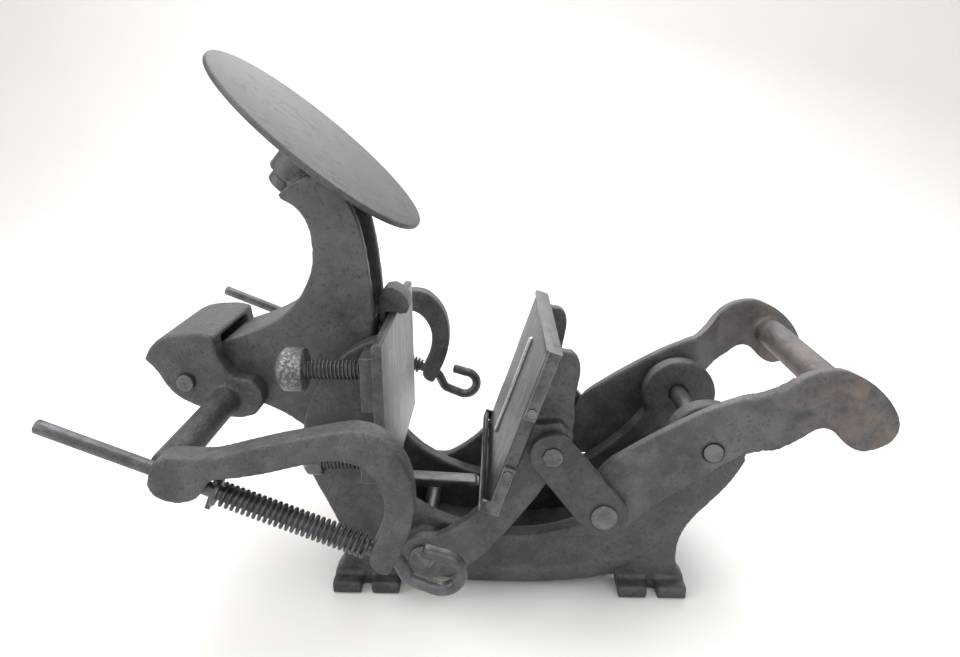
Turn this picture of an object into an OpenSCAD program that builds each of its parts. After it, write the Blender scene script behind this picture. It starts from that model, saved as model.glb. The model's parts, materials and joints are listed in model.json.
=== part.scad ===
// Hand-lever tabletop platen press with an ink disc and swinging roller hooks.
// Frame: X runs towards the lever, Y across the press, Z up, bench plane at z = 0.
// Units are millimetres. The press stands in its rest pose, platen open.
// "Near" is the -Y side. The far parts are mirror images of the near ones.

/* [Ink disc] */
// Diameter of the ink disc
disc_d = 98.5; // [90:0.5:105]
// Thickness of the ink disc
disc_t = 2.25; // [1.5:0.25:3]
// Angle of the ink disc above the bench plane
disc_tilt = 41; // [36:1:46]

/* [Bed and platen] */
// Width of the bed across the press
bed_w = 93; // [87:0.5:97]
// Thickness of the bed plate
bed_t = 3.75; // [3:0.25:4.5]
// Height of the top edge of the bed above the bench
bed_top = 113.25; // [112:0.25:114.75]
// Width of the platen across the press
platen_w = 82.5; // [81:0.25:83.25]
// Thickness of the platen plate
platen_t = 5.25; // [3.75:0.25:5.5]

/* [Frame] */
// Thickness of each side frame
plate_t = 7.5; // [5.5:0.5:9]
// Thickness of the foot flanges
foot_t = 5.25; // [3.75:0.25:6.75]
// Width of the open slot in each foot
slot_w = 4.25; // [3:0.25:5.25]
// Diameter of the platen hinge shaft
hinge_d = 6.75; // [5.25:0.25:7.5]
// Diameter of the lever shaft
lever_d = 7.5; // [6:0.25:8.25]

/* [Roller frame] */
// Diameter of the pin that the roller frame swings on
pivot_d = 5.25; // [3.75:0.25:6]
// Diameter of the bent roller rods
rod_d = 4.76; // [3.8:0.04:5.08]
// Outside diameter of the roller springs
spring_d = 8.4; // [7.5:0.1:8.7]

/* [Lever] */
// Thickness of each lever arm
arm_t = 4.5; // [3:0.25:4.75]
// Diameter of the round bar between the two lever ends
grip_d = 12.75; // [9:0.25:13.5]

/* [Screws] */
// Diameter of the bed screws
screw_d = 7.5; // [6:0.25:8.25]

/* [Hidden] */
$fn = 64;
gap = 0.0375;        // radial clearance of pins and screws
lap = 0.375;         // overlap of joined solids
lean = 18.68;        // angle of the open platen from its closed pose
rod_slope = 22.3;    // fall of the roller rods towards +X

// Axes across the press, [x, z]
hinge = [-34.5, 21];
lever_axis = [76.5, 68.25];
link_top = [15.75, 68.25];
link_low = [35.925, 43.275];
pivot = [-127.5, 89.25];
roller_bar = [-112.5, 81.75];
grip = [122.25, 90.75];
// Centre of the ink disc face and start of the roller rods, [x, z]
disc_centre = [-73.5, 180.75];
rod_start = [-106.5, 80.775];

bed_face = -46.125;
bed_back = bed_face - bed_t;
frame_in = 20.25;                // inner face of each side frame
frame_out = frame_in + plate_t;
foot_x = [45, 72.75];            // inner and outer ends of each foot
foot_edge = 34.5;                // y of the foot's free edge
slot_end = 29.25;                // y of the centre of the slot's round end
screw_y = 37.5;
screw_top_z = 100.5;
screw_low_z = 63.75;
spindle_r = 3.75;
rod_y = 83.25;
rod_step = -6;                   // offset of the rod past its cranked part
bend_r = 6.375;                  // centre-line radius of the hook
link_in = 38.25;
link_out = 42.75;
link_pin_r = 3;
rivet_r = 3.75;
bail_in = 41.475;
bail_out = 42.825;
bail_pin_r = 1.125;
arm_in = 33;                     // inner face of a lever arm at its pivot
grip_end = 43.5;                 // inner face of a lever arm at the grip

cast = [0.27, 0.28, 0.31];
steel = [0.62, 0.62, 0.60];
dark = [0.20, 0.21, 0.23];

/* ---- Helpers ---- */
// Side-view shape (x, z) stood up between two Y planes
module slab(y0, y1) {
    translate([0, max(y0, y1), 0]) rotate([90, 0, 0]) linear_extrude(abs(y1 - y0)) children();
}
module flip() { mirror([0, 1, 0]) children(); }
// Round bar across the press
module across(centre, radius, y0, y1) {
    translate([centre[0], min(y0, y1), centre[1]])
        rotate([-90, 0, 0]) cylinder(h = abs(y1 - y0), r = radius);
}
// Round bar parallel to the side view, between two [x, z] points
module along(start, end, y, radius) {
    run = end - start;
    translate([start[0], y, start[1]])
        rotate([0, atan2(run[0], run[1]), 0]) cylinder(h = norm(run), r = radius);
}
// Catmull-Rom point between start and end
function spline(before, start, end, after, frac) = 0.5 * ((2 * start) + (end - before) * frac
    + (2 * before - 5 * start + 4 * end - after) * frac * frac
    + (3 * start - before - 3 * end + after) * frac * frac * frac);
// Smooth closed curve through the points
function smooth(points, steps = 4) = let (count = len(points))
    [for (i = [0 : count - 1]) for (k = [0 : steps - 1])
        spline(points[(i + count - 1) % count], points[i], points[(i + 1) % count],
            points[(i + 2) % count], k / steps)];
// Smooth open curve that keeps its two ends
function curve(points, steps = 4) = let (last = len(points) - 1)
    concat([for (i = [0 : last - 1]) for (k = [0 : steps - 1])
        spline(points[max(i - 1, 0)], points[i], points[i + 1], points[min(i + 2, last)],
            k / steps)], [points[last]]);
// Platen point measured from the hinge in the closed pose, moved to the open pose
function opened(point) = hinge + [point[0] * cos(lean) + point[1] * sin(lean),
    point[1] * cos(lean) - point[0] * sin(lean)];
function opened_all(points) = [for (point = points) opened(point)];
// Point a distance along the roller rod, raised square to it
function rod_point(dist, rise = 0) = rod_start
    + [dist * cos(rod_slope) + rise * sin(rod_slope), rise * cos(rod_slope) - dist * sin(rod_slope)];

/* ---- Frame; outline tables hold [x, z] ---- */
column_back = [[-70.5, 9.75], [-68.25, 15], [-69, 25.5], [-74.25, 39], [-79.5, 51], [-81.75, 63],
    [-81.375, 73.5], [-78, 84], [-72.75, 93], [-64.5, 102], [-57, 106.875], [bed_back, 109.5]];
cradle_top = [[bed_back, 50.1], [-46.5, 45.3], [-40.5, 39.375], [-34.5, 35.25], [-29.25, 32.25],
    [-20.25, 28.5], [-12, 26.25], [0, 24.75], [12, 25.5], [24, 28.5], [36, 34.125], [46.5, 42],
    [55.5, 50.625], [62.25, 59.25]];
lever_post = [[77.25, 66.75], [91.5, 61.5], [91.5, 57], [86.25, 48], [79.5, 39.75], [73.5, 32.25],
    [69.75, 24], [69, 16.5], [69.75, 10.5], [72.75, 6]];
belly = [[45, 4.5], [43.5, 6.375], [33, 4.125], [21, 2.625], [9, 1.95], [-1.5, 1.8], [-12, 1.95],
    [-24, 3], [-34.5, 4.875], [-41.25, 6.375], [-45, 4.5]];
bead_low = [[-30, 5.7], [-12, 4.05], [7.5, 3.9], [22.5, 5.1], [34.5, 7.2], [46.5, 11.25],
    [57, 18.75], [64.5, 27.75], [71.25, 37.5]];
bead_high = [[68.25, 39.75], [60.75, 30.75], [53.25, 23.25], [43.5, 16.125], [33, 11.7],
    [21.75, 9.45], [7.5, 8.25], [-12, 8.4], [-30, 9.9]];

module plate_shape() {
    difference() {
        union() {
            polygon(concat([[-foot_x[1], 0], [-foot_x[1], 6]], curve(column_back),
                curve(cradle_top), curve(lever_post), [[foot_x[1], 0], [foot_x[0], 0]],
                curve(belly), [[-foot_x[0], 0]]));
            // round head about the lever shaft
            translate([77.25, 67.125]) circle(r = 16.2);
        }
        translate(hinge) circle(r = hinge_d / 2);
        translate(lever_axis) circle(r = lever_d / 2);
    }
}
// Foot flange with a slot open at its free edge
module foot(x0, x1) {
    mid = (x0 + x1) / 2;
    difference() {
        translate([x0, -foot_edge, 0]) cube([x1 - x0, foot_edge - frame_out, foot_t]);
        translate([mid - slot_w / 2, -slot_end - 6, -0.75]) cube([slot_w, 6, foot_t + 1.5]);
        translate([mid, -slot_end, -0.75]) cylinder(h = foot_t + 1.5, r = slot_w / 2);
    }
}
module side_frame_near() color(cast) {
    difference() {
        union() {
            slab(-frame_out, -frame_in) plate_shape();
            across(hinge, 6.75, -frame_out - 1.875, -frame_out + 0.75);
            // raised bead along the lower rim
            slab(-frame_out - 0.75, -frame_out + lap)
                polygon(concat(curve(bead_low), curve(bead_high)));
        }
        across(hinge, hinge_d / 2, -45, 0);
    }
    foot(-foot_x[1], -foot_x[0]);
    foot(foot_x[0], foot_x[1]);
}
module side_frame_far() color(cast) flip() side_frame_near();

module column_web() color(cast) slab(-frame_in, frame_in)
    polygon([[-69, 0], [-49.5, 0], [-49.5, 4.5], [-61.5, 6], [-64.5, 18], [-75, 49.5],
        [-76.05, 60.75], [-80.7, 60.75], [-78.75, 51], [-69, 18]]);
module rear_tie() color(cast) slab(-frame_in, frame_in)
    polygon(smooth([[63, 4.5], [69, 6], [68.25, 16.5], [72, 31.5], [75, 39], [69.75, 39],
        [64.5, 30], [62.25, 16.5]], 3));
module cradle_floor() color(cast) slab(-frame_in, frame_in) polygon(concat(
    curve([[-48, 9.75], [-34.5, 7.875], [-12, 5.25], [9, 5.1], [21, 6], [33, 8.25], [45, 12]]),
    curve([[43.5, 14.625], [32.25, 10.875], [20.25, 8.7], [9, 7.8], [-12, 7.95],
        [-33.75, 10.65], [-46.5, 12.75]])));
module stay_bar() color(cast) slab(-3.75, 3.75)
    polygon([[-68.7, 30.75], [-70.95, 37.5], [-45, 37.125], [-14.25, 35.625], [-12.75, 33.75],
        [-14.25, 31.875], [-45, 32.625]]);

/* ---- Bed ---- */
// Block on the back of the bed that takes one screw
module bed_lug(s, x, z, height)
    translate([x, s * screw_y - 6.75, z]) cube([bed_back + lap - x, 13.5, height]);
module bed() color(steel) {
    difference() {
        union() {
            slab(-bed_w / 2, bed_w / 2) polygon([[bed_back, 50.25], [bed_face, 50.25],
                [bed_face, bed_top - 0.75], [bed_face - 0.75, bed_top],
                [bed_back + 0.75, bed_top], [bed_back, bed_top - 1.125]]);
            for (s = [-1, 1]) {
                bed_lug(s, x = -54.75, z = 86.25, height = 21);
                bed_lug(s, x = -56.25, z = 57, height = 14.25);
            }
            // pad behind the middle of the bed
            slab(-9, 9) polygon([[-53.7, 100.5], [bed_back + lap, 100.5],
                [bed_back + lap, 108], [-53.7, 108]]);
        }
        for (s = [-1, 1], z = [screw_top_z, screw_low_z])
            translate([-60, s * screw_y, z]) rotate([0, 90, 0])
                cylinder(h = 12.375, r = screw_d / 2 + gap);
    }
}
// Hooked lug over the top edge of the bed
module chase_hook() color(cast) slab(-6, 6)
    polygon([[-52.875, 109.125], [-50.85, 109.125], [-50.85, bed_top], [-45.45, bed_top],
        [-45.45, 112.5], [-42, 112.95], [-40.95, 115.2], [-41.55, 118.5], [-43.8, 121.5],
        [-47.25, 123.45], [-50.7, 123], [-52.95, 120], [-53.55, 114.75]]);
// Screw along +X with a domed head
module bed_screw(s, z, head_x, head_r) color(dark)
    translate([head_x, s * screw_y, z]) rotate([0, 90, 0]) {
        dome_r = head_r * 1.3;
        cylinder(h = -48.375 - head_x, r = screw_d / 2);
        intersection() {
            sphere(r = dome_r);
            translate([0, 0, -dome_r]) cylinder(h = dome_r + 0.75, r = head_r);
        }
    }
module top_screw(s) bed_screw(s, screw_top_z, head_x = -76.5, head_r = 8.1);
module low_screw(s) bed_screw(s, screw_low_z, head_x = -72, head_r = 6);
module bed_screw_near_top() top_screw(-1);
module bed_screw_far_top() top_screw(1);
module bed_screw_near_low() low_screw(-1);
module bed_screw_far_low() low_screw(1);

/* ---- Ink disc and its neck ---- */
neck_outline = [[-87.75, 161.25], [-81.75, 156.45], [-77.7, 150], [-76.5, 141.75],
    [-77.25, 133.5], [-80.25, 126], [-84.75, 119.25], [-91.5, 113.25], [-102, 108],
    [-114, 103.5], [-122.25, 97.5], [-127.875, 96], [-132.3, 93], [-133.5, 88.5],
    [-130.95, 84], [-125.25, 81.75], [-117.75, 80.625], [-110.25, 78.75], [-102, 76.65],
    [-94.5, 73.5], [-88.5, 69.45], [-83.25, 66], [-77.25, 67.5], [-67.5, 78], [-60, 88.5],
    [-55.125, 99], [-54, 112.5], [-54.75, 127.5], [-56.25, 141], [-58.5, 151.5],
    [-62.25, 159.75], [-68.25, 166.5], [-77.25, 168]];

module neck_shape() polygon(smooth(neck_outline));
// Frame of the disc: origin at the centre of its face, z square to the face
module disc_frame()
    translate([disc_centre[0], 0, disc_centre[1]]) rotate([0, disc_tilt, 0]) children();
module ink_neck() color(cast) {
    difference() {
        union() {
            for (s = [-1, 1]) slab(s * 10.5, s * 15) neck_shape();
            // core between the cheeks, cut back on the bed side
            slab(-10.875, 10.875) difference() {
                neck_shape();
                polygon([[-45, 162.75], [-67.5, 162.75], [-66, 150.75], [-64.875, 136.5],
                    [-64.5, 123], [-63.75, 112.5], [-45, 112.5]]);
            }
            disc_frame() translate([0, 0, -20.25]) cylinder(h = 15.75, r = 9.75);
            // block that ties the neck to the two side frames
            slab(-frame_in, frame_in) polygon([[-73.5, 73.875], [-67.5, 78], [-60, 88.5],
                [-56.25, 97.5], [-63, 97.5], [-73.5, 84], [-76.5, 78]]);
        }
        across(pivot, pivot_d / 2, -30, 30);
        disc_frame() translate([0, 0, -24]) cylinder(h = 30, r = spindle_r);
        disc_frame() translate([0, 0, -27]) cylinder(h = 6.75, r = 7.2);
    }
}
module disc_spindle() color(dark) disc_frame() {
    translate([0, 0, -24]) cylinder(h = 23.25, r = spindle_r);
    translate([0, 0, -25.125]) cylinder(h = 4.875, r = 7.125);
}
module ink_disc() color(steel) disc_frame() difference() {
    union() {
        translate([0, 0, -disc_t]) cylinder(h = disc_t, r = disc_d / 2, $fn = 128);
        translate([0, 0, -4.35]) cylinder(h = 3, r = 9);
    }
    translate([0, 0, -6]) cylinder(h = 5.4, r = spindle_r + gap);
}

/* ---- Roller frame ---- */
hub_outline = [[-143.55, 98.25], [-141, 102.75], [-138, 105.9], [-133.5, 108],
    [-127.5, 108.975], [-120, 109.05], [-115.125, 108], [-114.75, 103.5], [-113.625, 98.25],
    [-111, 93], [-108, 90.75], [-102, 89.625], [-98.25, 85.5], [-98.25, 79.5], [-102, 75],
    [-108, 73.5], [-114, 74.25], [-120, 76.875], [-126, 79.05], [-130.875, 81.75],
    [-134.25, 84.75], [-136.8, 88.5], [-138.75, 92.55], [-141, 95.7]];
neck_room = [[-139.5, 98.25], [-136.8, 102.45], [-132.75, 104.625], [-127.5, 105.45],
    [-120, 105.6], [-112.5, 105.45], [-90, 105.75], [-90, 67.5], [-126, 67.5],
    [-135.75, 77.25], [-136.5, 90]];
arm_outline = [[-114, 84], [-111.75, 88.125], [-106.5, 90.375], [-99.75, 90], [-93, 90.3],
    [-84, 92.7], [-74.25, 95.25], [-65.25, 97.2], [-56.25, 99], [-49.5, 99.9],
    [-42.75, 98.55], [-37.125, 93.75], [-33, 87], [-31.125, 78], [-31.5, 69],
    [-34.125, 60], [-37.5, 53.25], [-40.5, 48.375], [-45.375, 51.375], [-45.375, 57],
    [-42.75, 63], [-40.65, 70.5], [-40.65, 77.25], [-43.125, 83.25], [-47.25, 87.375],
    [-52.5, 89.1], [-59.25, 89.1], [-67.5, 87.3], [-77.25, 84.75], [-87.75, 82.875],
    [-94.5, 81.9], [-97.875, 77.55], [-100.875, 75], [-106.5, 73.95], [-112.2, 75.75],
    [-114.75, 79.5]];

module roller_pivot_pin() color(dark) {
    across(pivot, pivot_d / 2, -24.75, 24.75);
    for (s = [-1, 1]) across(pivot, pivot_d / 2 + 0.75, s * 25.5, s * 23.4);
}
module roller_hub() color(cast) difference() {
    union() {
        slab(-23.25, 23.25) polygon(hub_outline);
        for (s = [-1, 1]) across(roller_bar, 5.55, s * 22.5, s * 78.75);
    }
    slab(-15.45, 15.45) polygon(neck_room);
    across(pivot, pivot_d / 2 + gap, -30, 30);
}
// Curved arm that guides the rod at both of its ends
module roller_arm_near() color(cast) difference() {
    slab(-88.125, -78.75) polygon(smooth(arm_outline, 3));
    along(rod_point(-15), rod_point(82.5), -rod_y, rod_d / 2 + gap);
    along(rod_point(71.25), rod_point(82.5), -rod_y, rod_d / 2 + 0.15);
}
module roller_arm_far() color(cast) flip() roller_arm_near();

// Part of a round ring about an [x, z] centre, from angle a0 to a1
module bend(centre, ring_r, bar_r, a0, a1)
    translate([centre[0], -rod_y, centre[1]]) rotate([90, 0, 0]) difference() {
        rotate_extrude() translate([ring_r, 0]) circle(r = bar_r);
        translate([0, 0, -2 * bar_r]) linear_extrude(4 * bar_r)
            polygon([[0, 0], for (i = [0 : 4]) let (angle = a1 + (360 + a0 - a1) * i / 4)
                4 * ring_r * [cos(angle), sin(angle)]]);
    }
// Ball that fills a corner of the rod
module knob(point) translate([point[0], -rod_y, point[1]]) sphere(r = rod_d / 2 + 0.09);
module hook_rod_near() color(dark) {
    rod_r = rod_d / 2;
    path = [rod_point(-46.125), rod_point(75), rod_point(80.25, rod_step),
        rod_point(90, rod_step)];
    bend_centre = rod_point(90, rod_step + bend_r);
    tip_angle = 88;
    tip = bend_centre + bend_r * [cos(tip_angle), sin(tip_angle)];
    for (i = [0 : 2]) {
        along(path[i], path[i + 1], -rod_y, rod_r);
        knob(path[i + 1]);
    }
    bend(bend_centre, bend_r, rod_r, a0 = -90 - rod_slope, a1 = tip_angle);
    knob(tip);
    along(tip, tip + [-6, 2.25], -rod_y, rod_r);
}
module hook_rod_far() color(dark) flip() hook_rod_near();

// Frame of the near rod: origin at its start, z along it
module rod_frame()
    translate([rod_start[0], -rod_y, rod_start[1]]) rotate([0, 90 + rod_slope, 0]) children();
// Washer and the cross pin behind it
module cotter_near() color(dark) rod_frame() {
    difference() {
        translate([0, 0, 12.375]) cylinder(h = 1.125, r = spring_d / 2 + 0.45);
        translate([0, 0, 11.25]) cylinder(h = 3.75, r = rod_d / 2);
    }
    translate([rod_d / 2, -0.75, 10.8]) cube([4.5, 1.5, 1.65]);
    translate([-rod_d / 2 - 1.875, -0.75, 10.8]) cube([1.875, 1.5, 1.65]);
}
module cotter_far() color(dark) flip() cotter_near();
// Coil swept by twisting a ring sector through 26 turns
module roller_spring_near() color(dark) {
    outer = spring_d / 2;
    inner = outer - 1.05;
    rod_frame() translate([0, 0, 13.725])
        linear_extrude(height = 50.925, twist = -360 * 26, slices = 208, convexity = 20, $fn = 8)
            polygon([for (i = [0 : 6]) outer * [cos(i * 35), sin(i * 35)],
                for (i = [6 : -1 : 0]) inner * [cos(i * 35), sin(i * 35)]]);
}
module roller_spring_far() color(dark) flip() roller_spring_near();

/* ---- Platen; tables hold closed-pose [x, z] from the hinge ---- */
platen_face = 16.5;
gripper_face = 15.3;
bail_x = [16.725, 21.225];
bail_pin_x = 19.125;
bail_pin_z = [48, 75];
cheek_back = [[27, 98.625], [30, 97.125], [32.25, 93], [33.375, 87.75], [34.5, 81],
    [36.75, 75], [38.25, 69], [38.25, 63], [36, 57.75], [34.5, 51], [31.5, 42.75],
    [25.5, 37.5]];
leg_edge = [[16.875, 34.5], [12, 22.5], [3, 10.5], [-4.5, 7.5], [-8.25, 3], [-8.25, -3],
    [-4.5, -7.5], [1.5, -8.625], [7.5, -7.875], [15, -3], [21, 5.25], [25.5, 15],
    [30, 28.5], [34.5, 43.5], [37.5, 58.5], [38.25, 69]];

module hinge_shaft() color(dark) {
    across(hinge, hinge_d / 2, -40.5, 40.5);
    for (s = [-1, 1]) across(hinge, hinge_d / 2 + 1.875, s * 38.1, s * 39.45);
}
module bail_holes(radius)
    for (z = bail_pin_z) across(opened([bail_pin_x, z]), radius, -45, 45);
module platen() color(cast) difference() {
    union() {
        slab(-platen_w / 2, platen_w / 2) polygon(opened_all([[platen_face, 28.5],
            [platen_face, 96.75], [platen_face + platen_t, 97.5], [platen_face + platen_t, 30]]));
        for (s = [-1, 1]) {
            slab(s * 27, s * 32.625) polygon(opened_all(concat(
                [[16.875, 33.75], [16.875, 96.75], [24, 98.25]], curve(cheek_back))));
            // leg down to the hinge, outside the side frame
            slab(s * 32.25, s * 37.95) polygon(opened_all(concat(
                [[16.875, 48]], curve(leg_edge), [[31.5, 72.75], [22.5, 69]])));
        }
        // rib across the back
        slab(-27, 27) polygon(opened_all([[21, 61.5], [21, 67.5], [27, 66], [27, 63]]));
    }
    across(hinge, hinge_d / 2 + gap, -45, 45);
    across(link_top, link_pin_r, -45, 45);
    bail_holes(bail_pin_r);
}
module gripper_strip() color(steel) slab(3.75, 6.375)
    polygon(opened_all([[platen_face, 42], [gripper_face, 42.75], [gripper_face, 87.75],
        [platen_face, 88.5]]));
// Two side straps joined by a bar across the platen
module bail(strap, bar) difference() {
    union() {
        for (s = [-1, 1]) slab(s * bail_in, s * bail_out) polygon(opened_all(strap));
        slab(-42, 42) polygon(opened_all(bar));
    }
    bail_holes(bail_pin_r + gap);
}
module bail_upper() color(dark) bail(
    strap = [[bail_x[0], 72], [bail_x[1], 72], [bail_x[1], 99.75], [bail_x[0], 99.75]],
    bar = [[15.75, 98.1], [15.75, 99.75], [21.75, 99.75], [21.75, 98.55]]);
module bail_lower() color(dark) bail(
    strap = [[13.425, 30.3], [bail_x[1], 30.3], [bail_x[1], 51], [bail_x[0], 51],
        [bail_x[0], 34.875], [13.425, 34.875]],
    bar = [[13.425, 30.3], [14.925, 30.3], [14.925, 34.125], [13.425, 34.125]]);
module bail_pin(z) {
    centre = opened([bail_pin_x, z]);
    across(centre, bail_pin_r, -42.975, 42.975);
    for (s = [-1, 1]) across(centre, 1.8, s * 42.975, s * 43.425);
}
module bail_pin_upper() color(steel) bail_pin(bail_pin_z[1]);
module bail_pin_lower() color(steel) bail_pin(bail_pin_z[0]);

/* ---- Links and lever ---- */
lever_outline = [[28.425, 45.375], [30.75, 52.425], [36.225, 62.175], [45.6, 69.225],
    [53.475, 74.325], [61.275, 79.05], [69.075, 83.4], [76.125, 86.85], [81.75, 89.1],
    [87, 91.05], [91.95, 93.9], [96.15, 97.65], [100.5, 101.85], [105.75, 104.7],
    [111.75, 105.9], [116.25, 105.45], [120.75, 103.65], [126, 100.8], [130.875, 96.75],
    [135, 91.8], [137.55, 86.7], [137.7, 82.2], [135.6, 78.45], [132, 76.05],
    [127.5, 74.7], [123.75, 75.15], [120, 77.4], [117, 80.4], [114.45, 82.65],
    [111, 83.55], [108, 82.65], [105, 80.4], [101.25, 77.85], [98.175, 75.675],
    [94.95, 73.5], [91.575, 71.475], [87.9, 68.7], [83.175, 64.95], [76.95, 60.225],
    [69.075, 54.6], [61.275, 48.975], [54.225, 43.2], [48.3, 37.2], [43.275, 32.85],
    [36.975, 30.9], [31.5, 32.55], [27.9, 36.75], [27.15, 41.25]];

module link_pin_near() color(dark) {
    across(link_top, link_pin_r, -43.65, -25.95);
    across(link_top, 4.5, -27, -25.95);
    across(link_top, 3.75, -43.65, -42.825);
}
module link_pin_far() color(dark) flip() link_pin_near();
module link_rivet_near() color(dark) {
    across(link_low, rivet_r, -43.125, -link_in);
    across(link_low, 5.1, -43.95, -link_out);
}
module link_rivet_far() color(dark) flip() link_rivet_near();
module link_near() color(cast) {
    top_r = 8.625;
    low_r = 9.375;
    axis = (link_low - link_top) / norm(link_low - link_top);
    normal = [-axis[1], axis[0]];
    difference() {
        slab(-link_out, -link_in) union() {
            translate(link_top) circle(r = top_r);
            translate(link_low) circle(r = low_r);
            polygon([link_top + top_r * normal, link_top - top_r * normal,
                link_low - low_r * normal, link_low + low_r * normal]);
        }
        across(link_top, link_pin_r + gap, -60, -30);
        across(link_low, rivet_r, -60, -30);
    }
}
module link_far() color(cast) flip() link_near();
module lever_shaft() color(dark) {
    across(lever_axis, lever_d / 2, -38.175, 38.175);
    for (s = [-1, 1]) across(lever_axis, lever_d / 2 + 2.25, s * 29.7, s * 32.775);
}

module lever_shape() difference() {
    polygon(smooth(lever_outline, 3));
    translate(lever_axis) circle(r = lever_d / 2 + gap);
}
// Plan-view [x, y] cutter for a lever arm
module plan_cut(points) translate([0, 0, 15]) linear_extrude(112.5) polygon(points);
module lever_arm_near() color(cast) {
    difference() {
        slab(-grip_end - arm_t, -arm_in) lever_shape();
        // the arm steps outwards between its pivot and its grip end
        plan_cut([[81.75, -30], [88.5, -34.05], [98.25, -42.45], [105.75, -grip_end],
            [150, -grip_end], [150, -30]]);
        plan_cut([[15, -arm_in - arm_t], [78.75, -arm_in - arm_t], [86.25, -34.05 - arm_t],
            [96, -42.45 - arm_t], [102.75, -44.25 - arm_t], [102.75, -60], [15, -60]]);
    }
    // boss between the arm and the lower end of the link
    across(link_low, 4.5, -38.175, -32.85 - arm_t);
}
module lever_arm_far() color(cast) flip() lever_arm_near();
module lever_grip() color(cast) across(grip, grip_d / 2, -grip_end, grip_end);

side_frame_near();
side_frame_far();
column_web();
rear_tie();
stay_bar();
cradle_floor();
bed();
chase_hook();
bed_screw_near_top();
bed_screw_far_top();
bed_screw_near_low();
bed_screw_far_low();
ink_neck();
disc_spindle();
ink_disc();
roller_pivot_pin();
roller_hub();
roller_arm_near();
roller_arm_far();
hook_rod_near();
hook_rod_far();
cotter_near();
cotter_far();
roller_spring_near();
roller_spring_far();
hinge_shaft();
platen();
gripper_strip();
bail_upper();
bail_lower();
bail_pin_upper();
bail_pin_lower();
link_pin_near();
link_pin_far();
link_near();
link_far();
link_rivet_near();
link_rivet_far();
lever_shaft();
lever_arm_near();
lever_arm_far();
lever_grip();
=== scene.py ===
"""A small hand-lever platen printing press on a pale studio sweep.

Z is up. The bed faces +X and the leaning platen faces it, looking along -X and upward.
"Near" parts lie at -Y, the camera's side, and "far" parts at +Y. Lengths in the drawing are
full size; everything is built at SIZE times that.
"""
import bpy
import bmesh
import json
import math
from mathutils import Vector, Matrix


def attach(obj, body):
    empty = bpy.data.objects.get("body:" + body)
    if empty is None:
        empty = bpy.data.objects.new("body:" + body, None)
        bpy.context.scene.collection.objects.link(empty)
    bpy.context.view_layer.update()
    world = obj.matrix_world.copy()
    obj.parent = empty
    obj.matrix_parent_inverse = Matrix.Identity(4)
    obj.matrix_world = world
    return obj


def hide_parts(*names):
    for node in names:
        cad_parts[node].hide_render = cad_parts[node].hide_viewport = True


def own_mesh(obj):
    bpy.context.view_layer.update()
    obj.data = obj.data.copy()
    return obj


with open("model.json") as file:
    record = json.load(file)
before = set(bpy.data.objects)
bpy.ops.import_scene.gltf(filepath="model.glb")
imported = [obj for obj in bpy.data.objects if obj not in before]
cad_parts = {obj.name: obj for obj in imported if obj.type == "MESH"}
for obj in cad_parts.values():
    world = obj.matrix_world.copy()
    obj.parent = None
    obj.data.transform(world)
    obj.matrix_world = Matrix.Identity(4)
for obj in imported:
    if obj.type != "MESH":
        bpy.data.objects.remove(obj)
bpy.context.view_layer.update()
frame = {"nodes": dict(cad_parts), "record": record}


NODES = frame["nodes"]
BODY = {node: body
        for body, nodes in frame["record"]["behaviour"]["bodies"].items()
        for node in nodes}

SIZE = 0.75            # built size over drawn size
MM = 0.001 * SIZE      # one drawn millimetre, in metres
SIDES = (("near", -1), ("far", 1))      # name, sign of y

PLATEN_LEAN = math.radians(18.68)
DISC_TILT = math.radians(41)


# ---------------------------------------------------------------- shader helpers
# data type: first input, second input, output of a Mix node
MIX_SOCKETS = {"FLOAT": (2, 3, 0), "VECTOR": (4, 5, 1), "RGBA": (6, 7, 2)}


def grey(level):
    return (level, level, level)


def scaled(colour, factor):
    return tuple(c * factor for c in colour)


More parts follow.
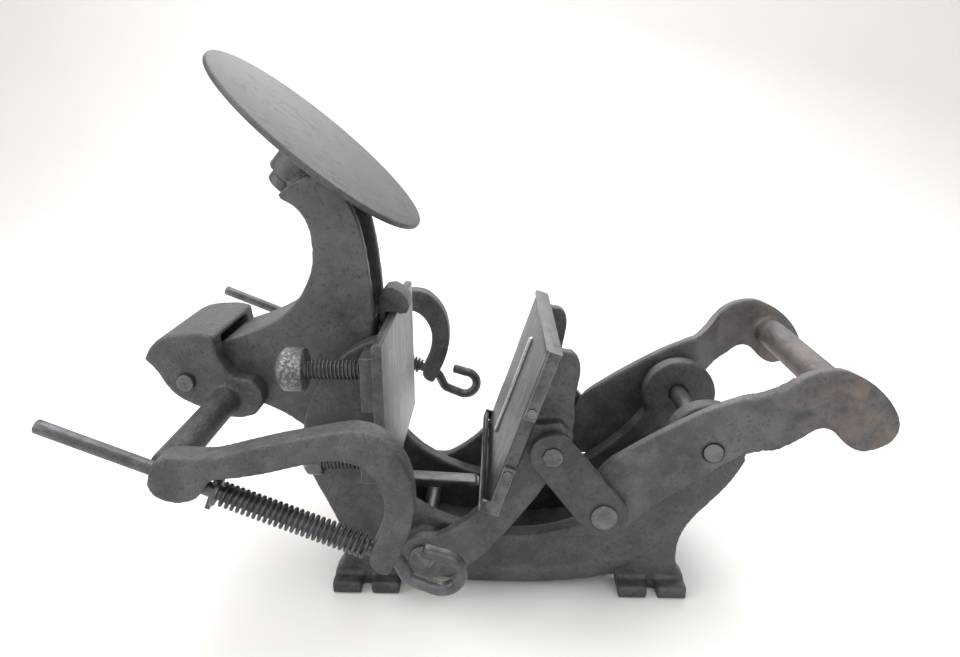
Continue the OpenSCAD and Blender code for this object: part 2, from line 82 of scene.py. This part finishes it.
class Net:
    """A material's node tree; each method adds nodes and returns their output socket."""

    def __init__(self, name):
        self.material = bpy.data.materials.new(name)
        self.material.use_nodes = True
        self.tree = self.material.node_tree
        self.tree.nodes.clear()
        output = self.node("ShaderNodeOutputMaterial")
        self.shader = self.node("ShaderNodeBsdfPrincipled")
        self.link(self.shader.outputs[0], output.inputs[0])
        self.coordinates = self.node("ShaderNodeTexCoord")

    def node(self, kind, **settings):
        node = self.tree.nodes.new(kind)
        for key, value in settings.items():
            setattr(node, key, value)
        return node

    def link(self, source, target):
        self.tree.links.new(source, target)

    def put(self, socket, value):
        """Feed a socket from another socket, an RGB tuple or a number."""
        if isinstance(value, bpy.types.NodeSocket):
            self.link(value, socket)
        elif isinstance(value, tuple):
            socket.default_value = (*value, 1)
        else:
            socket.default_value = value

    def position(self, stretch=(1, 1, 1)):
        """Object position in drawn metres, stretched per axis."""
        node = self.node("ShaderNodeMapping")
        node.inputs["Scale"].default_value = [s / SIZE for s in stretch]
        self.link(self.coordinates.outputs["Object"], node.inputs["Vector"])
        return node.outputs[0]

    def noise(self, where, scale, detail, roughness, distortion=0.0):
        node = self.node("ShaderNodeTexNoise")
        self.link(where, node.inputs["Vector"])
        node.inputs["Scale"].default_value = scale
        node.inputs["Detail"].default_value = detail
        node.inputs["Roughness"].default_value = roughness
        node.inputs["Distortion"].default_value = distortion
        return node.outputs["Fac"]

    def cells(self, where, scale):
        node = self.node("ShaderNodeTexVoronoi")
        self.link(where, node.inputs["Vector"])
        node.inputs["Scale"].default_value = scale
        return node.outputs["Distance"]

    def ramp(self, value, start, end, low=0.0, high=1.0):
        """Run from low to high as the value goes from start to end."""
        node = self.node("ShaderNodeValToRGB")
        self.link(value, node.inputs[0])
        stops = ((start, low), (end, high))
        for element, (place, level) in zip(node.color_ramp.elements, stops):
            element.position = place
            element.color = (*grey(level), 1)
        return node.outputs[0]

    def map_range(self, value, low, high):
        """Run from 0 to 1 as the value goes from low to high."""
        node = self.node("ShaderNodeMapRange")
        for socket, entry in zip(node.inputs, (value, low, high)):
            self.put(socket, entry)
        return node.outputs[0]

    def math(self, operation, first, second, clamp=False):
        node = self.node("ShaderNodeMath", operation=operation, use_clamp=clamp)
        self.put(node.inputs[0], first)
        self.put(node.inputs[1], second)
        return node.outputs[0]

    def times(self, first, second, clamp=False):
        return self.math("MULTIPLY", first, second, clamp)

    def mix(self, mask, first, second, kind="RGBA"):
        node = self.node("ShaderNodeMix", data_type=kind)
        first_input, second_input, output = MIX_SOCKETS[kind]
        self.put(node.inputs[0], mask)
        self.put(node.inputs[first_input], first)
        self.put(node.inputs[second_input], second)
        return node.outputs[output]

    def paint(self, under, over, mask, amount=None):
        """Lay one colour over another where the mask is 1."""
        if amount is not None:
            mask = self.times(mask, amount)
        return self.mix(mask, under, over)

    def dot(self, normal):
        node = self.node("ShaderNodeVectorMath", operation="DOT_PRODUCT")
        self.link(normal, node.inputs[0])
        return node

    def worn_edge(self, radius):
        """1 on convex edges, 0 on flats."""
        bevel = self.node("ShaderNodeBevel", samples=4)
        bevel.inputs["Radius"].default_value = radius * SIZE
        geometry = self.node("ShaderNodeNewGeometry")
        dot = self.dot(bevel.outputs[0])
        self.link(geometry.outputs["Normal"], dot.inputs[1])
        bend = self.math("SUBTRACT", 1.0, dot.outputs["Value"])
        return self.map_range(bend, low=0.03, high=0.175)

    def facing(self, direction):
        """1 where the object-space normal points along the direction."""
        dot = self.dot(self.coordinates.outputs["Normal"])
        dot.inputs[1].default_value = direction
        return self.map_range(dot.outputs["Value"], low=0.9, high=0.97)

    def axis(self, index):
        node = self.node("ShaderNodeSeparateXYZ")
        self.link(self.coordinates.outputs["Object"], node.inputs[0])
        return node.outputs[index]

    def bump(self, height, strength, depth, under=None):
        node = self.node("ShaderNodeBump")
        node.inputs["Strength"].default_value = strength
        node.inputs["Distance"].default_value = depth * SIZE
        self.link(height, node.inputs["Height"])
        if under is not None:
            self.link(under, node.inputs["Normal"])
        return node.outputs[0]

    def finish(self, colour, roughness, metallic, normal):
        self.put(self.shader.inputs["Base Color"], colour)
        self.put(self.shader.inputs["Roughness"], roughness)
        self.put(self.shader.inputs["Metallic"], metallic)
        self.link(normal, self.shader.inputs["Normal"])
        return self.material


# ---------------------------------------------------------------- material layers
def cast_layers(m, tone, grain_and_glints=1.0, brown_mask=None):
    """Colour, roughness, metallic and normal of blackened sand-cast iron with worn edges and
    painted glints.
    """
    where = m.position()
    clouds = m.noise(where, scale=16, detail=3, roughness=0.6, distortion=0.4)
    mottle = m.noise(where, scale=95, detail=5, roughness=0.62, distortion=0.2)
    fine = m.noise(where, scale=520, detail=4, roughness=0.6)
    grit_and_glint_noise = m.noise(where, scale=1500, detail=2, roughness=0.5)
    dark = scaled((0.0435, 0.0430, 0.0455), tone)
    medium = scaled((0.088, 0.0875, 0.0915), tone)
    light = scaled((0.135, 0.134, 0.139), tone)

    colour = m.mix(m.ramp(clouds, start=0.32, end=0.68), dark, medium)
    colour = m.paint(colour, light, m.ramp(mottle, start=0.42, end=0.72), amount=0.65)
    hollows = m.ramp(fine, start=0.30, end=0.46, low=1.0, high=0.0)
    colour = m.paint(colour, (0.019, 0.019, 0.021), hollows, amount=0.55)
    # painted glints: bright grey specks stand in for the speckle highlights of the grainy
    # casting, more of them as the grain factor rises
    glint_specks = m.ramp(grit_and_glint_noise, start=0.66, end=0.74)
    glint_cover = m.ramp(mottle, start=0.40, end=0.70,
                         low=0.05 + 0.25 * (grain_and_glints - 1), high=min(1.0, 0.55 * grain_and_glints))
    colour = m.paint(colour, grey(0.30), glint_specks, amount=glint_cover)
    if brown_mask is not None:
        patches = m.noise(where, scale=60, detail=6, roughness=0.7, distortion=0.6)
        brown = m.times(m.ramp(patches, start=0.38, end=0.62), brown_mask)
        colour = m.paint(colour, (0.20, 0.155, 0.130), brown, amount=0.85)
    edge = m.worn_edge(radius=0.0011)
    edge = m.times(edge, m.ramp(mottle, start=0.34, end=0.62, low=0.15), clamp=True)
    colour = m.paint(colour, (0.30, 0.30, 0.32), edge, amount=0.72)

    roughness = m.mix(m.ramp(mottle, start=0.3, end=0.7), 0.42, 0.60, "FLOAT")
    roughness = m.mix(edge, roughness, 0.36, "FLOAT")
    metallic = m.mix(edge, 0.45, 0.85, "FLOAT")
    normal = m.bump(mottle, strength=0.40 * grain_and_glints, depth=0.0010)
    normal = m.bump(fine, strength=0.75 * grain_and_glints, depth=0.00050, under=normal)
    normal = m.bump(grit_and_glint_noise, strength=0.60 * grain_and_glints, depth=0.00020, under=normal)
    return colour, roughness, metallic, normal


def bare_layers(m, dark, light, pit, spots, streak=None):
    """Colour, roughness and height of a machined and aged iron face."""
    where = m.position()
    base = m.noise(where, scale=42, detail=6, roughness=0.68, distortion=0.7)
    colour = m.mix(m.ramp(base, start=0.34, end=0.66), dark, light)
    if streak is not None:
        streaks = m.noise(m.position(streak), scale=1.0, detail=5, roughness=0.65)
        shade = m.ramp(streaks, start=0.36, end=0.64, low=0.55, high=0.0)
        colour = m.paint(colour, scaled(dark, 0.45), shade)
        shine = m.ramp(streaks, start=0.55, end=0.75, high=0.45)
        colour = m.paint(colour, grey(0.62), shine)
    blots = m.noise(where, scale=130, detail=6, roughness=0.72, distortion=0.9)
    colour = m.paint(colour, pit, m.ramp(blots, start=0.52, end=0.68), amount=spots)
    holes = m.cells(m.position(), scale=420)
    holes = m.ramp(holes, start=0.10, end=0.24, low=1.0, high=0.0)
    hole_areas = m.noise(where, scale=70, detail=3, roughness=0.6)
    holes = m.times(holes, m.ramp(hole_areas, start=0.46, end=0.62))
    colour = m.paint(colour, (0.035, 0.033, 0.035), holes, amount=0.8)
    fine = m.noise(where, scale=1300, detail=3, roughness=0.55)
    roughness = m.mix(base, 0.34, 0.58, "FLOAT")
    height = m.math("SUBTRACT", m.times(fine, 0.35), holes)
    return colour, roughness, height


# ---------------------------------------------------------------- materials
def cast_material(name, tone, grain_and_glints=1.0, brown=None):
    """Cast iron; brown is (axis index, clean end, brown end) in drawn metres."""
    m = Net(name)
    mask = None
    if brown:
        axis, clean, full = brown
        mask = m.map_range(m.axis(axis), clean * SIZE, full * SIZE)
    return m.finish(*cast_layers(m, tone, grain_and_glints, mask))


def faced_material(name, direction, **bare):
    """Cast iron everywhere except the machined face that points along direction."""
    m = Net(name)
    colour, roughness, metallic, normal = cast_layers(m, tone=1.0)
    bare_colour, bare_roughness, bare_height = bare_layers(m, **bare)
    face = m.facing(direction)
    bare_normal = m.bump(bare_height, strength=0.4, depth=0.0003)
    normal = m.mix(face, normal, bare_normal, "VECTOR")
    return m.finish(m.mix(face, colour, bare_colour),
                    m.mix(face, roughness, bare_roughness, "FLOAT"),
                    m.mix(face, metallic, 0.82, "FLOAT"),
                    normal)


def steel_material(name, dark, light, roughness=(0.30, 0.5), wear=0.6):
    m = Net(name)
    where = m.position()
    base = m.noise(where, scale=110, detail=5, roughness=0.65, distortion=0.3)
    fine = m.noise(where, scale=900, detail=3, roughness=0.55)
    colour = m.mix(m.ramp(base, start=0.34, end=0.66), dark, light)
    hollows = m.ramp(fine, start=0.30, end=0.44, low=1.0, high=0.0)
    colour = m.paint(colour, (0.02, 0.02, 0.023), hollows, amount=0.5)
    colour = m.paint(colour, grey(0.42), m.worn_edge(radius=0.0006), amount=wear)
    rough = m.mix(base, *roughness, "FLOAT")
    normal = m.bump(base, strength=0.2, depth=0.0004)
    normal = m.bump(fine, strength=0.4, depth=0.00012, under=normal)
    return m.finish(colour, rough, 0.75, normal)


def pitted_material(name, dark, light, pit):
    """Bare steel with dark pits and bright worn islands."""
    m = Net(name)
    colour, roughness, height = bare_layers(m, dark, light, pit, spots=0.85)
    islands = m.noise(m.position(), scale=620, detail=5, roughness=0.7, distortion=0.6)
    islands = m.ramp(islands, start=0.50, end=0.60)
    colour = m.paint(colour, (0.50, 0.49, 0.48), islands, amount=0.55)
    return m.finish(colour, roughness, 0.75, m.bump(height, strength=0.7, depth=0.0005))


IRON = cast_material("iron_black", tone=1.12)
IRON_FRAME = cast_material("iron_frame", tone=0.92)
IRON_LEVER = cast_material("iron_lever", tone=1.18, brown=(0, 0.118, 0.175))
# a grain factor of 2.1 deepens the relief and adds more painted glint specks
IRON_ARM = cast_material("iron_roller_frame", tone=0.98, grain_and_glints=2.1)
IRON_LINK = cast_material("iron_link", tone=0.80)
IRON_SPINDLE = cast_material("iron_spindle", tone=1.0, brown=(2, 0.3, 0.1))
BED = faced_material(
    "iron_bed_face", (1, 0, 0),
    dark=grey(0.20), light=(0.36, 0.36, 0.355), pit=grey(0.07),
    streak=(260, 330, 26), spots=0.55)
PLATEN = faced_material(
    "iron_platen_face", (-math.cos(PLATEN_LEAN), 0, math.sin(PLATEN_LEAN)),
    dark=(0.11, 0.112, 0.118), light=(0.23, 0.235, 0.24), pit=(0.05, 0.05, 0.055),
    streak=(150, 360, 30), spots=0.65)
DISC = faced_material(
    "iron_disc_top", (math.sin(DISC_TILT), 0, math.cos(DISC_TILT)),
    dark=grey(0.026), light=(0.088, 0.086, 0.083), pit=(0.010, 0.009, 0.009), spots=1.0)
STEEL = steel_material("steel_dark", (0.060, 0.062, 0.068), (0.13, 0.132, 0.14))
STEEL_PIN = steel_material("steel_pin", (0.085, 0.086, 0.092), (0.17, 0.17, 0.175),
                           roughness=(0.28, 0.45))
SPRING = steel_material("steel_spring", (0.045, 0.046, 0.05), (0.10, 0.10, 0.105),
                        roughness=(0.30, 0.46), wear=0.3)
PITTED = pitted_material("steel_pitted", (0.085, 0.083, 0.082), (0.20, 0.198, 0.195),
                         pit=(0.035, 0.034, 0.034))
STRIP = steel_material("steel_strip", grey(0.50), (0.70, 0.70, 0.69), roughness=(0.22, 0.36))


# ---------------------------------------------------------------- mesh helpers
def smooth(mesh, angle):
    """Smooth shading, broken at edges sharper than the angle in degrees."""
    mesh.polygons.foreach_set("use_smooth", [True] * len(mesh.polygons))
    mesh.set_sharp_from_angle(angle=math.radians(angle))
    mesh.update()


def place(name, mesh, material, nodes, angle=38, replace=True):
    """Make a mesh a piece that rides with its first CAD node and may replace them all."""
    mesh.materials.clear()
    mesh.materials.append(material)
    smooth(mesh, angle)
    piece = bpy.data.objects.new(name, mesh)
    bpy.context.scene.collection.objects.link(piece)
    bpy.context.view_layer.update()
    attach(piece, BODY[nodes[0]])
    if replace:
        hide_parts(*nodes)
    return piece


def mesh_from(bm, name):
    mesh = bpy.data.meshes.new(name)
    bm.to_mesh(mesh)
    bm.free()
    return mesh


def cad_bmesh(nodes):
    bm = bmesh.new()
    for node in nodes:
        bm.from_mesh(NODES[node].data)
    bmesh.ops.remove_doubles(bm, verts=bm.verts, dist=2e-6)
    return bm


def modified(mesh, modifiers):
    """The mesh after a list of (kind, settings) modifiers."""
    work = bpy.data.objects.new("tmp_work", mesh)
    bpy.context.scene.collection.objects.link(work)
    for kind, settings in modifiers:
        modifier = work.modifiers.new(kind.lower(), kind)
        for key, value in settings.items():
            setattr(modifier, key, value)
    depsgraph = bpy.context.evaluated_depsgraph_get()
    result = bpy.data.meshes.new_from_object(work.evaluated_get(depsgraph))
    bpy.data.objects.remove(work)
    return result


def crisp(node, material, width, segments, name=None):
    """Machined piece: CAD shape with its edges eased by width millimetres."""
    bm = cad_bmesh([node])
    bmesh.ops.dissolve_limit(bm, angle_limit=math.radians(0.4), verts=bm.verts, edges=bm.edges)
    bevel = dict(width=width * MM, segments=segments, limit_method="ANGLE",
                 angle_limit=math.radians(32), use_clamp_overlap=True)
    mesh = modified(mesh_from(bm, "crisp"), [("BEVEL", bevel)])
    place(name or node + "_piece", mesh, material, [node])


def casting(nodes, material, voxel, rounds, name=None):
    """Cast piece: CAD shapes run together and softened, as they leave a sand mould."""
    voxel_size = voxel * MM
    mesh = modified(mesh_from(cad_bmesh(nodes), "cast"), [
        ("REMESH", dict(mode="VOXEL", voxel_size=voxel_size)),
        ("SMOOTH", dict(factor=0.5, iterations=rounds))])
    place(name or nodes[0] + "_casting", mesh, material, nodes, angle=70)


def circle(bm, centre, across, up, radius, sides):
    angles = [2 * math.pi * i / sides for i in range(sides)]
    return [bm.verts.new(centre + (across * math.cos(a) + up * math.sin(a)) * radius)
            for a in angles]


def bridge(bm, ring, following, flip=False):
    """Join two equal rings with quads."""
    for i in range(len(ring)):
        j = (i + 1) % len(ring)
        corners = [ring[i], ring[j], following[j], following[i]]
        if flip:
            corners = corners[:1] + corners[:0:-1]
        bm.faces.new(corners)


def turned(profile, centre, steps):
    """Shape turned about the X line through centre, from (x, radius) pairs, first on axis."""
    axis = Vector((1, 0, 0))
    across = axis.orthogonal().normalized()
    up = axis.cross(across)
    bm = bmesh.new()
    tip = bm.verts.new(centre + axis * profile[0][0])
    rings = [circle(bm, centre + axis * x, across, up, radius, steps)
             for x, radius in profile[1:]]
    for i in range(steps):
        bm.faces.new((tip, rings[0][i], rings[0][(i + 1) % steps]))
    for ring, following in zip(rings, rings[1:]):
        bridge(bm, ring, following, flip=True)
    bmesh.ops.recalc_face_normals(bm, faces=bm.faces)
    return bm


def tube(points, radius, sides):
    """Round bar swept along points, with domed ends."""
    points = [Vector(p) for p in points]
    start = (points[1] - points[0]).normalized()
    end = (points[-1] - points[-2]).normalized()
    bm = bmesh.new()
    across = start.orthogonal().normalized()
    rings = []
    last = len(points) - 1
    for i, point in enumerate(points):
        along = (points[min(i + 1, last)] - points[max(i - 1, 0)]).normalized()
        across = (across - along * across.dot(along)).normalized()
        rings.append(circle(bm, point, across, along.cross(across), radius, sides))
    for ring, following in zip(rings, rings[1:]):
        bridge(bm, ring, following)

    bulge = radius * 0.35
    for ring, outward in ((rings[0], -start), (rings[-1], end)):
        centre = sum((v.co for v in ring), Vector()) / sides
        rim = ring
        for k in (1, 2):
            angle = math.pi / 2 * k / 3
            inner = [bm.verts.new(centre + (v.co - centre) * math.cos(angle)
                                  + outward * bulge * math.sin(angle)) for v in ring]
            bridge(bm, rim, inner)
            rim = inner
        top = bm.verts.new(centre + outward * bulge)
        for i in range(sides):
            bm.faces.new((rim[i], rim[(i + 1) % sides], top))
    bmesh.ops.recalc_face_normals(bm, faces=bm.faces)
    return bm


# ---------------------------------------------------------------- castings and machined pieces
for side, _ in SIDES:
    casting(["side_frame_" + side], IRON_FRAME, voxel=1.1, rounds=5)
casting(["column_web", "rear_tie", "cradle_floor"], IRON_FRAME, voxel=1.2, rounds=3,
        name="frame_webs")
crisp("chase_hook", IRON, width=1.4, segments=4)
casting(["ink_neck"], IRON, voxel=1.0, rounds=7)
casting(["roller_hub", "roller_arm_near", "roller_arm_far"], IRON_ARM, voxel=0.95, rounds=9,
        name="roller_frame_casting")
casting(["lever_arm_near", "lever_arm_far", "lever_grip"], IRON_LEVER, voxel=0.95, rounds=8,
        name="lever_casting")
casting(["platen"], PLATEN, voxel=1.0, rounds=4)

# nodes, material, eased edge width in mm, segments across the edge
MACHINED = (
    ("bed", BED, 0.8, 3),
    ("ink_disc", DISC, 1.1, 4),
    ("stay_bar", STEEL_PIN, 0.9, 3),
    ("disc_spindle", IRON_SPINDLE, 1.6, 4),
    ("link_near link_far", IRON_LINK, 1.2, 4),
    ("link_rivet_near link_rivet_far link_pin_near link_pin_far", STEEL_PIN, 0.7, 4),
    ("hinge_shaft lever_shaft roller_pivot_pin", STEEL_PIN, 0.7, 3),
    ("bail_upper bail_lower", STEEL, 0.35, 2),
    ("bail_pin_upper bail_pin_lower", STEEL_PIN, 0.3, 2),
    ("gripper_strip", STRIP, 0.4, 2),
)
for group, material, width, segments in MACHINED:
    for node in group.split():
        crisp(node, material, width, segments)

# ---------------------------------------------------------------- roller rods and springs, mm
ROD_SLOPE_DEGREES = 22.3                # down toward +X
ROD_SLOPE = math.radians(ROD_SLOPE_DEGREES)
ROD_ORIGIN = Vector((-142.0, 107.7))    # x, z
ROD_Y = 111.0
ROD_RADIUS = 3.17
ROD_STRAIGHT = (-61.2, -55, -30, 0, 40, 80, 95, 97.5)     # stations along the rod
JOG_LENGTH, JOG_DROP = 12, 8
HOOK_RADIUS = 8.5
HOOK_CENTRE = 120                       # station along the rod
HOOK_END_DEGREES = 88

SPRING_START, SPRING_LENGTH = 18.35, 67.8
SPRING_COILS = 27
COIL_RADIUS, WIRE_RADIUS = 4.72, 0.85


def rod_point(along, above=0.0):
    """(x, z) of a point along the rod's line and above it."""
    cos, sin = math.cos(ROD_SLOPE), math.sin(ROD_SLOPE)
    return ROD_ORIGIN + Vector((along * cos + above * sin, -along * sin + above * cos))


def rod_path():
    """Straight bar, a jog downward, a round hook and a short tail toward -X."""
    points = [rod_point(along) for along in ROD_STRAIGHT]
    for i in range(1, 12):
        part = i / 12
        ease = part * part * (3 - 2 * part)
        points.append(rod_point(ROD_STRAIGHT[-1] + JOG_LENGTH * part, -JOG_DROP * ease))
    points += [rod_point(112, -JOG_DROP), rod_point(116, -JOG_DROP)]
    centre = rod_point(HOOK_CENTRE, HOOK_RADIUS - JOG_DROP)
    first = -90 - ROD_SLOPE_DEGREES
    for i in range(25):
        angle = math.radians(first + (HOOK_END_DEGREES - first) * i / 24)
        points.append(centre + HOOK_RADIUS * Vector((math.cos(angle), math.sin(angle))))
    hook_end = points[-1]
    for i in range(1, 5):
        part = i / 4
        droop = Vector((0, -0.5 * part ** 2))
        points.append(hook_end + Vector((-8, 3)) * part * 0.97 + droop)
    return points


def roller_rod(side, sign):
    points = [(p.x * MM, sign * ROD_Y * MM, p.y * MM) for p in rod_path()]
    place("hook_rod_%s_bar" % side, mesh_from(tube(points, ROD_RADIUS * MM, 24), "rod"),
          STEEL, ["hook_rod_" + side], angle=60)


def roller_spring(side, sign):
    """Swept coil around the rod, its first turn drawn in."""
    steps = SPRING_COILS * 20
    axis = Vector((math.cos(ROD_SLOPE), 0, -math.sin(ROD_SLOPE)))
    up = Vector((math.sin(ROD_SLOPE), 0, math.cos(ROD_SLOPE)))
    across = Vector((0, 1, 0))
    origin = Vector((ROD_ORIGIN.x, sign * ROD_Y, ROD_ORIGIN.y))
    span = SPRING_LENGTH - 2 * WIRE_RADIUS
    points = []
    for i in range(steps + 1):
        turn = i / steps * SPRING_COILS
        turns_along = turn
        if turn < 1:
            turns_along = (0.45 + 0.55 * turn) * (0.4 + 0.6 * turn) * 0.9
        along = SPRING_START + WIRE_RADIUS + span * turns_along / SPRING_COILS
        angle = 2 * math.pi * turn
        radial = up * math.cos(angle) + across * math.sin(angle)
        points.append((origin + axis * along + radial * COIL_RADIUS) * MM)
    spring = place("roller_spring_%s_coil" % side,
                   mesh_from(tube(points, WIRE_RADIUS * MM, 8), "coil"),
                   SPRING, ["roller_spring_" + side], angle=80)
    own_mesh(spring)


for side, sign in SIDES:
    roller_rod(side, sign)
    roller_spring(side, sign)
    crisp("cotter_" + side, STEEL, width=0.35, segments=2, name="cotter_%s_washer" % side)

# ---------------------------------------------------------------- bed screws, mm
SCREW_Y = 50
SCREW_END_X = -64.7
THREAD_RADIUS, THREAD_PITCH, THREAD_DEPTH = 5.0, 1.9, 1.1
THREAD_START = 0.3                      # from the head's origin
THREAD_SIDES, ROWS_PER_PITCH = 32, 10
DOME = 1.3                              # dome radius over head radius
DOME_STEPS = 14


def head_bmesh(x, y, z, radius):
    """Domed head, open where it meets the thread."""
    dome = DOME * radius
    dome_foot = math.sqrt(DOME ** 2 - 1) * radius
    profile = []
    for k in range(DOME_STEPS + 1):
        angle = math.asin(1 / DOME) * k / DOME_STEPS
        profile.append((-dome * math.cos(angle), dome * math.sin(angle) * 0.995))
    profile += [(-dome_foot + 0.8, radius), (0.2, radius), (0.7, radius - 0.3),
                (0.98, radius - 0.9), (0.98, 4.4)]
    profile = [(along * MM, across * MM) for along, across in profile]
    return turned(profile, Vector((x * MM, y * MM, z * MM)), 48)


def thread_bmesh(x, y, z):
    """Threaded shank running from the head toward +X, the thread fading at both ends."""
    length = SCREW_END_X - x
    rows = int(length / THREAD_PITCH * ROWS_PER_PITCH)
    bm = bmesh.new()
    rings = []
    for i in range(rows + 1):
        along = THREAD_START + (length - THREAD_START) * i / rows
        fade = min(1.0, along / 2.5, (length - along) / 1.2 + 0.2)
        ring = []
        for k in range(THREAD_SIDES):
            angle = 2 * math.pi * k / THREAD_SIDES
            phase = (along / THREAD_PITCH - k / THREAD_SIDES) % 1.0
            crest = min(1, max(0, abs(phase - 0.5) * 2 * 1.25 - 0.1))
            radius = THREAD_RADIUS - THREAD_DEPTH * (1 - crest) * fade
            ring.append(bm.verts.new(((x + along) * MM,
                                      (y + radius * math.cos(angle)) * MM,
                                      (z + radius * math.sin(angle)) * MM)))
        rings.append(ring)
    for ring, following in zip(rings, rings[1:]):
        bridge(bm, ring, following, flip=True)
    bm.faces.new(rings[0])
    bm.faces.new(rings[-1][::-1])
    bmesh.ops.recalc_face_normals(bm, faces=bm.faces)
    return bm


# level, z, head x, head radius, head material
for level, z, x, radius, material in (("top", 134, -102, 10.8, PITTED),
                                      ("low", 85, -96, 8.0, STEEL_PIN)):
    for side, sign in SIDES:
        node = "bed_screw_%s_%s" % (side, level)
        y = sign * SCREW_Y
        place(node + "_thread", mesh_from(thread_bmesh(x, y, z), "thread"), STEEL, [node],
              angle=28)
        place(node + "_head", mesh_from(head_bmesh(x, y, z, radius), "head"), material, [node],
              angle=60, replace=False)


# ---------------------------------------------------------------- stage, drawn metres
def floor():
    """Floor that curves up into a wall at +Y."""
    bend_y, bend_radius, bend_steps = 0.9, 0.5, 24
    half_width, wall_top, drop = 2.6, 2.2, 0.0002
    profile = [(y, 0.0) for y in (-1.6, -0.8, 0.0, bend_y)]
    for i in range(1, bend_steps + 1):
        angle = math.pi / 2 * i / bend_steps
        profile.append((bend_y + bend_radius * math.sin(angle),
                        bend_radius - bend_radius * math.cos(angle)))
    profile.append((bend_y + bend_radius, wall_top))
    bm = bmesh.new()
    rows = [[bm.verts.new((x * SIZE, y * SIZE, z * SIZE - drop))
             for x in (-half_width, half_width)] for y, z in profile]
    for a, b in zip(rows, rows[1:]):
        bm.faces.new((a[0], a[1], b[1], b[0]))
    mesh = mesh_from(bm, "sweep")
    smooth(mesh, 60)

    m = Net("paper_white")
    clouds = m.noise(m.position(), scale=5, detail=3, roughness=0.5)
    colour = m.mix(clouds, (0.74, 0.722, 0.705), (0.78, 0.763, 0.748))
    m.put(m.shader.inputs["Base Color"], colour)
    m.put(m.shader.inputs["Roughness"], 0.55)
    mesh.materials.append(m.material)
    sweep = bpy.data.objects.new("floor_sweep", mesh)
    bpy.context.scene.collection.objects.link(sweep)


def studio_world():
    world = bpy.data.worlds.new("studio")
    bpy.context.scene.world = world
    world.use_nodes = True
    colour, strength = world.node_tree.nodes["Background"].inputs[:2]
    colour.default_value = (1.0, 0.995, 0.985, 1)
    strength.default_value = 0.75


def area(name, location, target, size, power, colour=(1, 1, 1)):
    light = bpy.data.lights.new(name, "AREA")
    light.shape = "RECTANGLE"
    light.size = size[0] * SIZE
    light.size_y = size[1] * SIZE
    light.energy = power * SIZE * SIZE
    light.color = colour
    lamp = bpy.data.objects.new(name, light)
    lamp.location = Vector(location) * SIZE
    aim = Vector(target) - Vector(location)
    lamp.rotation_euler = aim.to_track_quat("-Z", "Y").to_euler()
    bpy.context.scene.collection.objects.link(lamp)


def camera():
    """Camera on the -Y side, looking along +Y and down."""
    data = bpy.data.cameras.new("camera")
    data.sensor_fit = "HORIZONTAL"
    data.sensor_width = 36
    data.lens = 27.36375
    data.clip_start = 0.01
    data.clip_end = 20
    eye = bpy.data.objects.new("camera", data)
    bpy.context.scene.collection.objects.link(eye)
    turn, dip = math.radians(-1.547), math.radians(17.797)
    forward = Vector((math.sin(turn) * math.cos(dip),
                      math.cos(turn) * math.cos(dip),
                      -math.sin(dip)))
    right = Vector((math.cos(turn), -math.sin(turn), 0))
    matrix = Matrix((right, right.cross(forward), -forward)).transposed().to_4x4()
    matrix.translation = Vector((-0.00649, -0.38309, 0.26275)) * SIZE
    eye.matrix_world = matrix
    bpy.context.scene.camera = eye


floor()
studio_world()
area("key_top", (-0.25, 0.15, 1.25), target=(0, 0, 0.1), size=(1.1, 1.1), power=15)
area("side_left", (-1.1, -0.45, 0.7), target=(-0.05, 0, 0.12), size=(0.8, 0.8), power=7,
     colour=(1.0, 0.99, 0.97))
area("back_wash", (0.2, 1.0, 0.9), target=(0, 0.2, 0.2), size=(1.6, 0.8), power=9,
     colour=(0.96, 0.98, 1.0))
area("front_fill", (0.5, -1.3, 0.8), target=(0, 0, 0.12), size=(1.0, 0.8), power=5)
camera()
bpy.context.scene.view_settings.view_transform = "Standard"
bpy.context.scene.view_settings.exposure = 0.0
